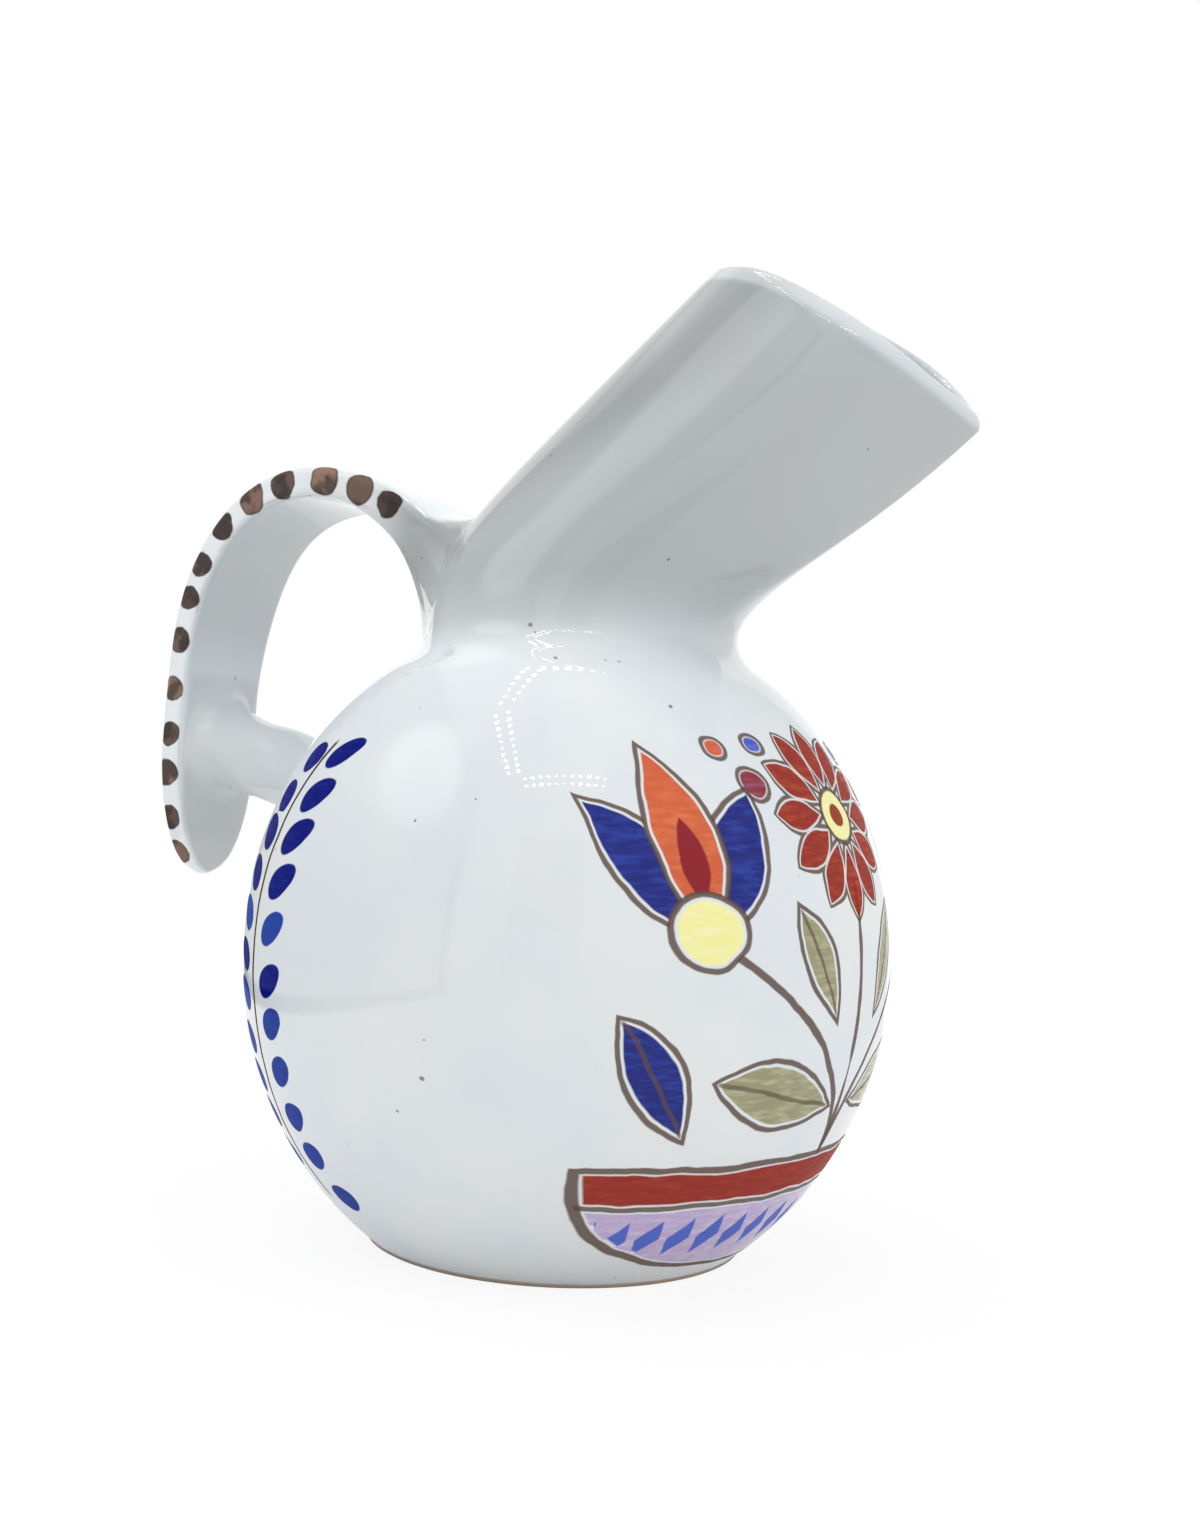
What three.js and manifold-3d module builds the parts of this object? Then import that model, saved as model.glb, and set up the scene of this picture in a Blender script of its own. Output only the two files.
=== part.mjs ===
// A large white tin-glazed pitcher: a thrown globe, a beaked spout that leans forward,
// and a broad strap handle that springs from the back of the neck, arches over and hangs
// free, held off the globe by a short clay peg. Soft clay is worked into the three joints.
// Millimetres, +Z up, +X towards the spout. The origin is the centre of the flat base.

import * as THREE from 'three';
import { mergeVertices } from 'three/addons/utils/BufferGeometryUtils.js';
import Module from 'manifold-3d';

const wasm = await Module();
wasm.setup();

// Globe
const globeRadius = 94;
const globeHalfHeight = 101;
const footRadius = 53;
const footBevel = 1.4;
const wall = 6;
const baseThickness = 8;
const neckRadius = 45.4;
const shoulderSpread = 14;
const shoulderRise = 16;
const shoulderPull = 0.4;

// Spout, measured from the seam at the neck and from the axis of the globe
const mouthBackReach = 37.5;
const mouthBackRise = 100.5;
const mouthTipReach = 121;
const mouthTipRise = 52.5;
const mouthHalfWidth = 26;
const mouthSideLift = 7;
const rimHeight = 2.4;
const ridgeWall = 8.5;
const lipBevel = 3;
const beakBevel = 2;
const bevelStart = -0.6;
const bevelFull = 0.2;
const beakStart = 0.7;

// The spout's two lines: how far each stands straight at the neck, and where it leans over,
// as shares of its reach and rise. The back is also drawn in a little as it stands.
const backDraw = 1;
const backStand = 0.36;
const backLeanReach = 0.31;
const backLeanRise = 0.55;
const frontStand = 0.14;
const frontLeanReach = 0.5;
const frontLeanRise = 0.36;

// How hollow the leaf-shaped section is towards its two ends, and where up the spout the
// change from a circle to a leaf begins and ends
const leafPower = 1.6;
const leafStart = 0.02;
const leafEnd = 0.9;

// Strap handle
const strapWidth = 37;
const strapThickness = 9.8;
const strapEdgeRadius = 3;
const strapStandOff = 59;
const strapRiseOverNeck = 47;
const strapApexReach = 98;
const strapRootRise = 26;
const strapRootSlope = THREE.MathUtils.degToRad(42);
const strapRootDepth = 27;
const rootSwell = 6.5;
const rootSwellLength = 44;
const tongueLength = 49;
const tongueTipWidth = 0.12;
const tongueTipDepth = 0.55;
const tailHeight = 95.5;
const quarterPull = 0.65;

// Peg between the globe and the strap
const pegRadius = 12.8;
const pegBodyRise = 41;
const pegStrapRise = 59;

// Soft clay worked into the joints
const rootClayReach = 16;
const rootClaySpread = 2.6;
const pegClayReach = 13;
const pegClaySpread = 5.5;
const clayEdge = 0.8;

// Clearance between neighbouring pieces
const gap = 0.3;

// Worked out from the sizes above. The peg and its clay start this deep in the globe's wall.
const seatDepth = 2 * wall / 3;
const rootOf = (value) => Math.sqrt(Math.max(0, value));
const globeCentre = globeHalfHeight * rootOf(1 - (footRadius / globeRadius) ** 2);
const shoulderRadius = neckRadius + shoulderSpread;
const shoulderHeight = globeCentre + globeHalfHeight * rootOf(1 - (shoulderRadius / globeRadius) ** 2);
const neckHeight = shoulderHeight + shoulderRise;
const strapReach = globeRadius + strapStandOff;
const strapTop = neckHeight + strapRiseOverNeck;

const glaze = (colour, roughness) => new THREE.MeshStandardMaterial({ color: colour, roughness, metalness: 0 });

// A closed solid as a Manifold, from a geometry whose faces point out
function solidFrom(geometry) {
  const bare = geometry.clone();
  bare.deleteAttribute('normal');
  bare.deleteAttribute('uv');
  const merged = mergeVertices(bare, 1e-4);
  const corners = merged.index.array;
  const kept = [];
  for (let at = 0; at < corners.length; at += 3) {
    const [a, b, c] = [corners[at], corners[at + 1], corners[at + 2]];
    if (a !== b && b !== c && c !== a) {
      kept.push(a, b, c);
    }
  }
  return new wasm.Manifold(new wasm.Mesh({
    numProp: 3,
    vertProperties: Float32Array.from(merged.attributes.position.array),
    triVerts: Uint32Array.from(kept),
  }));
}

function geometryFrom(solid) {
  const mesh = solid.getMesh();
  const geometry = new THREE.BufferGeometry();
  geometry.setAttribute('position', new THREE.BufferAttribute(Float32Array.from(mesh.vertProperties), 3));
  geometry.setIndex(Array.from(mesh.triVerts));
  return geometry;
}

// The largest body of a cut solid
function mainBody(solid) {
  const bodies = solid.decompose();
  return bodies.reduce((best, body) => (body.volume() > best.volume() ? body : best));
}

// Rings of points joined by faces. A tube's first and last rings are capped by a flat fan,
// and where the tube closes on itself the last ring joins the first.
function skin(rings, closesOnItself) {
  const sides = rings[0].length;
  const positions = rings.flat().flatMap((point) => point.toArray());
  const faces = [];
  const joined = closesOnItself ? rings.length : rings.length - 1;
  for (let row = 0; row < joined; row += 1) {
    const here = row * sides;
    const next = ((row + 1) % rings.length) * sides;
    for (let side = 0; side < sides; side += 1) {
      const other = (side + 1) % sides;
      faces.push(here + side, here + other, next + other);
      faces.push(here + side, next + other, next + side);
    }
  }
  if (!closesOnItself) {
    for (const [row, turned] of [[0, true], [rings.length - 1, false]]) {
      const centre = positions.length / 3;
      const middle = rings[row].reduce((sum, point) => sum.add(point), new THREE.Vector3());
      positions.push(...middle.divideScalar(sides).toArray());
      for (let side = 0; side < sides; side += 1) {
        const pair = [row * sides + side, row * sides + ((side + 1) % sides)];
        faces.push(centre, ...(turned ? pair.reverse() : pair));
      }
    }
  }
  const geometry = new THREE.BufferGeometry();
  geometry.setAttribute('position', new THREE.Float32BufferAttribute(positions, 3));
  geometry.setIndex(faces);
  return geometry;
}

const steps = (count) => Array.from({ length: count + 1 }, (unused, index) => index / count);
const mix = THREE.MathUtils.lerp;

// Globe: an upright ellipsoid on a flat foot, drawn in to the neck by a hollow shoulder
const globeTurns = 56;
const globeRows = 18;

function globeOutline(inset, footHeight) {
  const across = globeRadius - inset;
  const half = globeHalfHeight - inset;
  const foot = Math.asin((footHeight - globeCentre) / half);
  const shoulder = Math.acos((shoulderRadius - inset) / across);
  const arc = steps(globeRows).map((step) => {
    const angle = mix(foot, shoulder, step);
    return new THREE.Vector2(across * Math.cos(angle), globeCentre + half * Math.sin(angle));
  });
  const start = arc[arc.length - 1];
  const slope = new THREE.Vector2(-across * Math.sin(shoulder), half * Math.cos(shoulder)).normalize();
  const end = new THREE.Vector2(neckRadius - inset, neckHeight);
  const pull = start.distanceTo(end) * shoulderPull;
  const hollow = new THREE.CubicBezierCurve(
    start,
    start.clone().addScaledVector(slope, pull),
    new THREE.Vector2(end.x, end.y - pull),
    end,
  );
  return [...arc, ...hollow.getPoints(8).slice(1)];
}

function turned(outline) {
  return new THREE.LatheGeometry(outline, globeTurns).rotateX(Math.PI / 2);
}

function makeGlobe() {
  const outside = globeOutline(0, footBevel);
  const inside = globeOutline(wall, baseThickness).reverse();
  const floor = new THREE.Vector2(0, baseThickness);
  return turned([
    new THREE.Vector2(0, 0),
    new THREE.Vector2(outside[0].x - footBevel, 0),
    ...outside,
    ...inside,
    floor,
  ]);
}

function globeEnvelope(clearance) {
  const outside = globeOutline(-clearance, footBevel);
  const top = new THREE.Vector2(0, neckHeight);
  return solidFrom(turned([new THREE.Vector2(0, footBevel), ...outside, top]));
}

// Spout: rings slung between a line up the back and a line up the front. They start round
// at the neck and draw in to a leaf shape with a ridge behind and a beak in front.
const spoutSides = 52;
const spoutRows = 16;

const backLine = new THREE.CubicBezierCurve(
  new THREE.Vector2(-neckRadius, neckHeight),
  new THREE.Vector2(-neckRadius + backDraw, neckHeight + backStand * mouthBackRise),
  new THREE.Vector2(
    -neckRadius + backLeanReach * (neckRadius + mouthBackReach),
    neckHeight + backLeanRise * mouthBackRise,
  ),
  new THREE.Vector2(mouthBackReach, neckHeight + mouthBackRise),
);
const frontLine = new THREE.CubicBezierCurve(
  new THREE.Vector2(neckRadius, neckHeight),
  new THREE.Vector2(neckRadius, neckHeight + frontStand * mouthTipRise),
  new THREE.Vector2(
    mix(neckRadius, mouthTipReach, frontLeanReach),
    neckHeight + frontLeanRise * mouthTipRise,
  ),
  new THREE.Vector2(mouthTipReach, neckHeight + mouthTipRise),
);

// How far the section has changed from a circle to a leaf at a share of the way up
const leafShare = (share) => THREE.MathUtils.smoothstep(share, leafStart, leafEnd);

// A point of the spout's skin at a share of the way up and an angle round from the beak
function spoutPoint(share, angle, sideInset, endInset) {
  const back = backLine.getPoint(share);
  const front = frontLine.getPoint(share);
  const middle = back.clone().add(front).multiplyScalar(0.5);
  const along = front.clone().sub(back).normalize();
  const up = new THREE.Vector2(-along.y, along.x);
  const leaf = leafShare(share);
  const halfLength = front.distanceTo(back) / 2 - mix(sideInset, endInset, leaf);
  const halfWidth = mix(neckRadius, mouthHalfWidth, leaf) - sideInset;
  const power = mix(1, leafPower, leaf);
  const side = Math.sin(angle);
  const reach = halfLength * Math.cos(angle);
  const lift = mouthSideLift * share * share * side * side;
  return new THREE.Vector3(
    middle.x + along.x * reach + up.x * lift,
    Math.sign(side) * halfWidth * Math.abs(side) ** power,
    middle.y + along.y * reach + up.y * lift,
  );
}

const spoutAngles = steps(spoutSides).slice(1).map((turn) => turn * 2 * Math.PI);

// The lip is bevelled outside from past the middle of each side, and less at the beak
function bevelShare(angle) {
  const forward = Math.cos(angle);
  const beak = THREE.MathUtils.smoothstep(forward, beakStart, 1);
  const bevel = mix(lipBevel, beakBevel, beak) * THREE.MathUtils.smoothstep(forward, bevelStart, bevelFull);
  return bevel / frontLine.getLength();
}

function spoutRing(share, bevelled, sideInset, endInset) {
  return spoutAngles.map((angle) => {
    const cut = bevelled ? bevelShare(angle) : 0;
    return spoutPoint(share * (1 - cut), angle, sideInset, endInset);
  });
}

function makeSpout() {
  const outside = steps(spoutRows).map((share) => spoutRing(share, true, 0, 0));
  const inside = steps(spoutRows).map((share) => spoutRing(share, false, wall, ridgeWall)).reverse();
  const lip = outside[spoutRows];
  const bore = inside[0];
  const along = frontLine.getPoint(1).sub(backLine.getPoint(1)).normalize();
  const up = new THREE.Vector3(-along.y, 0, along.x);
  const rim = [0.2, 0.4, 0.6, 0.8].map((share) => lip.map((edge, side) => {
    const angle = share * Math.PI;
    const point = edge.clone().lerp(bore[side], (1 - Math.cos(angle)) / 2);
    return point.addScaledVector(up, rimHeight * Math.sin(angle));
  }));
  return skin([...outside, ...rim, ...inside], true);
}

function spoutEnvelope(clearance) {
  const rows = steps(spoutRows).map((share) => spoutRing(share, false, -clearance, -clearance));
  return solidFrom(skin(rows, false));
}

// Strap handle: one section carried along a line in the plane of the spout and the handle
const strapRoot = new THREE.Vector2(-neckRadius, neckHeight + strapRootRise);
const rootDirection = new THREE.Vector2(-Math.cos(strapRootSlope), Math.sin(strapRootSlope));
const strapApex = new THREE.Vector2(-strapApexReach, strapTop);
const tongueTop = new THREE.Vector2(-strapReach, tailHeight + tongueLength);
const tail = new THREE.Vector2(-strapReach, tailHeight);
const rootPull = strapRoot.distanceTo(strapApex) / 3;

const strapLine = new THREE.CurvePath();
strapLine.add(new THREE.LineCurve(strapRoot.clone().addScaledVector(rootDirection, -strapRootDepth), strapRoot));
strapLine.add(new THREE.CubicBezierCurve(
  strapRoot,
  strapRoot.clone().addScaledVector(rootDirection, rootPull),
  new THREE.Vector2(strapApex.x + rootPull, strapApex.y),
  strapApex,
));
strapLine.add(new THREE.CubicBezierCurve(
  strapApex,
  new THREE.Vector2(strapApex.x - quarterPull * (strapReach - strapApexReach), strapApex.y),
  new THREE.Vector2(-strapReach, tongueTop.y + quarterPull * (strapTop - tongueTop.y)),
  tongueTop,
));
strapLine.add(new THREE.LineCurve(tongueTop, tail));

const strapLength = strapLine.getLength();

// The line's point at a distance from its start, with the way out of the strap's back there
function strapFrame(distance) {
  const place = Math.min(distance / strapLength, 1);
  const direction = strapLine.getTangentAt(Math.min(place, 0.999));
  return { point: strapLine.getPointAt(place), out: new THREE.Vector2(direction.y, -direction.x) };
}

// A rounded rectangle round a frame's point, wide along Y, as deep as asked outside and inside
function strapSection(frame, halfWidth, outside, inside) {
  const halfDepth = (outside + inside) / 2;
  const middle = (outside - inside) / 2;
  const round = Math.min(strapEdgeRadius, halfWidth, halfDepth);
  const corners = [[1, 1], [-1, 1], [-1, -1], [1, -1]];
  return corners.flatMap(([wide, thick], quarter) => steps(3).map((step) => {
    const angle = (quarter + step) * Math.PI / 2;
    const width = wide * (halfWidth - round) + round * Math.cos(angle);
    const depth = middle + thick * (halfDepth - round) + round * Math.sin(angle);
    const { point, out } = frame;
    return new THREE.Vector3(point.x + out.x * depth, -width, point.y + out.y * depth);
  }));
}

// The strap's underside swells towards the neck
function swellAt(distance) {
  const left = 1 - (distance - strapRootDepth) / rootSwellLength;
  return rootSwell * THREE.MathUtils.clamp(left, 0, 1) ** 1.2;
}

function makeStrap(clearance) {
  const tongueStart = strapLength - tongueLength;
  const distances = [
    ...steps(28).map((step) => step * tongueStart),
    ...steps(12).slice(1).map((step) => strapLength - tongueLength * (1 - step) ** 2),
  ];
  const rings = distances.map((distance) => {
    const down = Math.max(0, (distance - tongueStart) / tongueLength);
    const taper = Math.max(tongueTipWidth, rootOf(1 - down ** 2.2));
    const depth = Math.max(tongueTipDepth, rootOf(1 - down ** 12)) * strapThickness / 2 + clearance;
    const halfWidth = taper * strapWidth / 2 + clearance;
    return strapSection(strapFrame(distance), halfWidth, depth, depth + swellAt(distance));
  });
  return solidFrom(skin(rings, false));
}

// Peg: a short round strut, square to the globe, with its two ends cut to what they meet
const pegStart = new THREE.Vector2(
  -globeRadius * rootOf(1 - (pegBodyRise / globeHalfHeight) ** 2) + seatDepth,
  globeCentre + pegBodyRise,
);
const pegEnd = new THREE.Vector2(-strapReach, globeCentre + pegStrapRise);

// Round sections about the peg's line, at distances along it
function roundSolid(distances, radii, sides) {
  const along = pegEnd.clone().sub(pegStart).normalize();
  const across = new THREE.Vector2(-along.y, along.x);
  const rings = distances.map((distance, index) => {
    const centre = pegStart.clone().addScaledVector(along, distance);
    return steps(sides).slice(1).map((turn) => {
      const angle = turn * 2 * Math.PI;
      const rise = radii[index].rise * Math.sin(angle);
      return new THREE.Vector3(
        centre.x + across.x * rise,
        radii[index].side * Math.cos(angle),
        centre.y + across.y * rise,
      );
    });
  });
  return solidFrom(skin(rings, false));
}

const pegLength = pegEnd.distanceTo(pegStart);
const pegSides = 28;
const even = (radius) => ({ rise: radius, side: radius });

function pegSolid(clearance) {
  const distances = steps(6).map((step) => step * pegLength);
  return roundSolid(distances, distances.map(() => even(pegRadius + clearance)), pegSides);
}

const body = globeEnvelope(gap).add(spoutEnvelope(gap));
const strapRoom = makeStrap(gap);
const pegRoom = pegSolid(gap);

const strap = mainBody(makeStrap(0).subtract(body));
const peg = mainBody(pegSolid(0).subtract(body).subtract(strapRoom));

// Clay worked in round the strap where it leaves the neck
function makeRootClay() {
  const rings = steps(12).map((step) => {
    const distance = step * (strapRootDepth + rootClayReach);
    const flare = Math.min(1, (strapRootDepth + rootClayReach - distance) / rootClayReach) ** 2;
    const cover = clayEdge + flare * rootClaySpread;
    const depth = strapThickness / 2 + cover;
    return strapSection(strapFrame(distance), strapWidth / 2 + cover, depth, depth + swellAt(distance));
  });
  return mainBody(solidFrom(skin(rings, false)).subtract(body).subtract(strapRoom));
}

// Clay worked in round one end of the peg, spreading by a hollow curve to the end
function makePegClay(fromEnd, room) {
  const sideSpread = Math.min(pegClaySpread, strapWidth / 2 - pegRadius - clayEdge);
  const places = steps(8);
  const rings = places.map((step) => {
    const flare = (fromEnd ? step : 1 - step) ** 2;
    return {
      rise: pegRadius + clayEdge + flare * pegClaySpread,
      side: pegRadius + clayEdge + flare * (fromEnd ? sideSpread : pegClaySpread),
    };
  });
  const seat = fromEnd ? strapThickness / 2 : seatDepth;
  const span = pegClayReach + seat;
  const distances = places.map((step) => (fromEnd ? pegLength - span * (1 - step) : span * step));
  return mainBody(roundSolid(distances, rings, pegSides).subtract(room).subtract(pegRoom));
}

function piece(name, geometry, material) {
  const mesh = new THREE.Mesh(geometry, material);
  mesh.name = name;
  return mesh;
}

const pitcher = new THREE.Group();
pitcher.add(piece('globe_body', makeGlobe(), glaze(0xd8dde1, 0.12)));
pitcher.add(piece('spout', makeSpout(), glaze(0xc6cbce, 0.12)));
pitcher.add(piece('handle_strap', geometryFrom(strap), glaze(0xdfe4e8, 0.12)));
pitcher.add(piece('handle_peg', geometryFrom(peg), glaze(0xc3c9cd, 0.14)));
pitcher.add(piece('strap_root_fillet', geometryFrom(makeRootClay()), glaze(0xd3d8dc, 0.12)));
pitcher.add(piece('peg_body_fillet', geometryFrom(makePegClay(false, body)), glaze(0xcdd3d6, 0.14)));
pitcher.add(piece('peg_strap_fillet', geometryFrom(makePegClay(true, strapRoom)), glaze(0xbcc2c6, 0.14)));

export default pitcher;
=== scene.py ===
import math
from bisect import bisect_left

import bmesh
import bpy
from mathutils import Matrix, Vector
from mathutils.bvhtree import BVHTree
from mathutils.geometry import interpolate_bezier


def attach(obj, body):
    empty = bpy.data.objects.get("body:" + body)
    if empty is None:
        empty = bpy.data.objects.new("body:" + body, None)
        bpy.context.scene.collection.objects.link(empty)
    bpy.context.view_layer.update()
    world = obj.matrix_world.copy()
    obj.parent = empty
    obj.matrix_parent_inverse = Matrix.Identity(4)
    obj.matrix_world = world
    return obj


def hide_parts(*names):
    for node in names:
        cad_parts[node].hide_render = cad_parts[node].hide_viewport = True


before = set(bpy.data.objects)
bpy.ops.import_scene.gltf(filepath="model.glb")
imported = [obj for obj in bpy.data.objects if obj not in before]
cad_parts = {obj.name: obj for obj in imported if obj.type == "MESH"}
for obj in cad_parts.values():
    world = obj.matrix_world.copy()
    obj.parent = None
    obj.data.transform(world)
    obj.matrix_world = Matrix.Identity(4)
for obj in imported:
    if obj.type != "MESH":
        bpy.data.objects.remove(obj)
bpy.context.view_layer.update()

# Camera
# It stands in front of the pitcher, a little below its middle, turned to the spout's side and
# rolled by a few degrees, which makes the foot sink to the right as in the photograph.
camera_place = Vector((0.2808, -0.4163, 0.1315))
camera_turn = math.radians(33.23)
camera_pitch = math.radians(-0.74)
camera_roll = math.radians(2.91)

ahead = Vector((
    -math.sin(camera_turn) * math.cos(camera_pitch),
    math.cos(camera_turn) * math.cos(camera_pitch),
    -math.sin(camera_pitch),
))
level_right = Vector((math.cos(camera_turn), math.sin(camera_turn), 0))
level_up = level_right.cross(ahead)
right = level_right * math.cos(camera_roll) + level_up * math.sin(camera_roll)
up = level_up * math.cos(camera_roll) - level_right * math.sin(camera_roll)

lens = bpy.data.cameras.new("camera")
lens.sensor_width = 36
lens.lens = 39.9
camera = bpy.data.objects.new("camera", lens)
camera_axes = Matrix((right, up, -ahead)).transposed().to_4x4()
camera.matrix_world = Matrix.Translation(camera_place) @ camera_axes
bpy.context.collection.objects.link(camera)
bpy.context.scene.camera = camera
bpy.context.scene.view_settings.view_transform = "Standard"

# Globe
# The thrown body, white tin glaze over earthenware about 6 mm thick. It is an upright
# ellipsoid cut flat at the foot, drawn in by a hollow shoulder to the neck, and painted.
globe_radius = 0.094
globe_half_height = 0.101
foot_radius = 0.053
foot_bevel = 0.0014
wall = 0.006
base_thickness = 0.008
base_ring = 0.03
neck_radius = 0.0454
shoulder_radius = 0.0594
shoulder_rise = 0.016
shoulder_pull = 0.4

globe_centre = globe_half_height * math.sqrt(1 - (foot_radius / globe_radius) ** 2)
shoulder_height = globe_centre + globe_half_height * math.sqrt(1 - (shoulder_radius / globe_radius) ** 2)
neck_height = shoulder_height + shoulder_rise


def globe_outline(inset, foot_height, rows):
    """The globe's profile from the foot to the neck, with the last step very short"""
    across = globe_radius - inset
    half = globe_half_height - inset
    foot = math.asin((foot_height - globe_centre) / half)
    shoulder = math.acos((shoulder_radius - inset) / across)
    angles = [foot + (shoulder - foot) * row / rows for row in range(rows + 1)]
    arc = [Vector((across * math.cos(angle), 0, globe_centre + half * math.sin(angle))) for angle in angles]
    slope = Vector((-across * math.sin(shoulder), 0, half * math.cos(shoulder))).normalized()
    end = Vector((neck_radius - inset, 0, neck_height))
    pull = (end - arc[-1]).length * shoulder_pull
    hollow = interpolate_bezier(arc[-1], arc[-1] + slope * pull, end - Vector((0, 0, pull)), end, 26)
    return arc + hollow[1:-1] + [hollow[-2].lerp(end, 0.85), end]


def thrown_globe():
    """The outline, rounded at the foot and closed across the base, spun round the upright axis"""
    outside = globe_outline(0, foot_bevel, 96)
    inside = globe_outline(wall, base_thickness, 48)
    bevel_centre = outside[0].x - foot_bevel
    bevel = [Vector((
        bevel_centre + foot_bevel * math.sin(math.radians(angle)),
        0,
        foot_bevel - foot_bevel * math.cos(math.radians(angle)),
    )) for angle in (0, 20, 40, 60, 78)]
    profile = [Vector(), Vector((base_ring, 0, 0)), *bevel, *outside, *reversed(inside)]
    profile += [Vector((base_ring, 0, base_thickness)), Vector((0, 0, base_thickness))]
    clay = bmesh.new()
    corners = [clay.verts.new(point) for point in profile]
    edges = [clay.edges.new(pair) for pair in zip(corners, corners[1:])]
    bmesh.ops.spin(
        clay, geom=corners + edges, cent=(0, 0, 0), axis=(0, 0, 1), dvec=(0, 0, 0),
        angle=math.tau, steps=320, use_merge=True, use_duplicate=False,
    )
    return clay


def set_down(name, clay, material):
    """The clay as an object of the scene"""
    mesh = bpy.data.meshes.new(name)
    clay.to_mesh(mesh)
    clay.free()
    mesh.materials.append(material)
    piece = bpy.data.objects.new(name, mesh)
    bpy.context.collection.objects.link(piece)
    return piece


def finish_piece(name, clay, material, node):
    """A finished piece: welded, facing outwards, smooth apart from its sharp edges"""
    bmesh.ops.remove_doubles(clay, verts=clay.verts, dist=2e-6)
    bmesh.ops.dissolve_degenerate(clay, edges=clay.edges, dist=1e-7)
    bmesh.ops.recalc_face_normals(clay, faces=clay.faces)
    piece = set_down(name, clay, material)
    piece.data.shade_smooth()
    piece.data.set_sharp_from_angle(angle=math.radians(50))
    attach(piece, "root")
    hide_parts(node)
    return piece


class Wire:
    """A node's output. Arithmetic on it adds the Math nodes for it."""

    def __init__(self, socket):
        self.socket = socket

    def node(self, kind, values, settings=None, output=0):
        """A new node in this tree, its inputs set by their names or numbers"""
        tree = self.socket.id_data
        made = tree.nodes.new(kind)
        for name, setting in (settings or {}).items():
            setattr(made, name, setting)
        for name, value in values.items():
            if isinstance(value, Wire):
                tree.links.new(value.socket, made.inputs[name])
            else:
                made.inputs[name].default_value = value
        return Wire(made.outputs[output]) if made.outputs else None

    def math(self, operation, first, second=0.0):
        return self.node("ShaderNodeMath", {0: first, 1: second}, {"operation": operation})

    def __add__(self, other):
        return self.math("ADD", self, other)

    def __sub__(self, other):
        return self.math("SUBTRACT", self, other)

    def __rsub__(self, other):
        return self.math("SUBTRACT", other, self)

    def __mul__(self, other):
        return self.math("MULTIPLY", self, other)

    def __truediv__(self, other):
        return self.math("DIVIDE", self, other)

    def __pow__(self, other):
        return self.math("POWER", self, other)

    def __abs__(self):
        return self.math("ABSOLUTE", self)

    def most(self, other):
        return self.math("MAXIMUM", self, other)

    def least(self, other):
        return self.math("MINIMUM", self, other)

    def above(self, other):
        return self.math("GREATER_THAN", self, other)

    def floor(self):
        return self.math("FLOOR", self)

    def fade(self, start, end):
        """0 at start and 1 at end, smooth between them"""
        return self.node(
            "ShaderNodeMapRange",
            {"Value": self, "From Min": start, "From Max": end},
            {"interpolation_type": "SMOOTHSTEP", "clamp": True},
        )

    def noise(self, scale, detail=2.0, output=0):
        values = {"Vector": self, "Scale": scale, "Detail": detail}
        return self.node("ShaderNodeTexNoise", values, output=output)

    def part(self, axis):
        return self.node("ShaderNodeSeparateXYZ", {"Vector": self}, output=axis)

    def between(self, first, second):
        """The first colour where this is 0 and the second where it is 1"""
        values = {0: self, 6: (*first, 1), 7: (*second, 1)}
        return self.node("ShaderNodeMix", values, {"data_type": "RGBA"}, output=2)

    def over(self, colour, share):
        """This colour with another one laid over it by a share"""
        coat = colour if isinstance(colour, Wire) else (*colour, 1)
        settings = {"data_type": "RGBA", "clamp_factor": True}
        return self.node("ShaderNodeMix", {0: share, 6: self, 7: coat}, settings, output=2)


def start_material(name):
    """An empty material, and the place on the object in metres"""
    material = bpy.data.materials.new(name)
    material.use_nodes = True
    material.node_tree.nodes.clear()
    return material, Wire(material.node_tree.nodes.new("ShaderNodeTexCoord").outputs["Object"])


glaze_cool = (0.66, 0.705, 0.74)
glaze_warm = (0.71, 0.735, 0.735)
glaze_shade_grey = (0.36, 0.395, 0.396)
glaze_deepest_shade = (0.255, 0.27, 0.267)
glaze_lilac = (0.42, 0.405, 0.44)
glaze_sage = (0.335, 0.39, 0.365)
pinhole_brown = (0.1, 0.085, 0.075)

mouth_back_reach = 0.0375
mouth_back_rise = 0.1005
mouth_tip_reach = 0.121
mouth_tip_rise = 0.0525
mouth_side_lift = 0.007

mouth_back = Vector((mouth_back_reach, 0, neck_height + mouth_back_rise))
mouth_tip = Vector((mouth_tip_reach, 0, neck_height + mouth_tip_rise))
mouth_middle = (mouth_back + mouth_tip) / 2
mouth_along = (mouth_tip - mouth_back).normalized()
mouth_up = Vector((-mouth_along.z, 0, mouth_along.x))
lip_curve = mouth_side_lift / (mouth_tip - mouth_middle).length_squared


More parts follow.
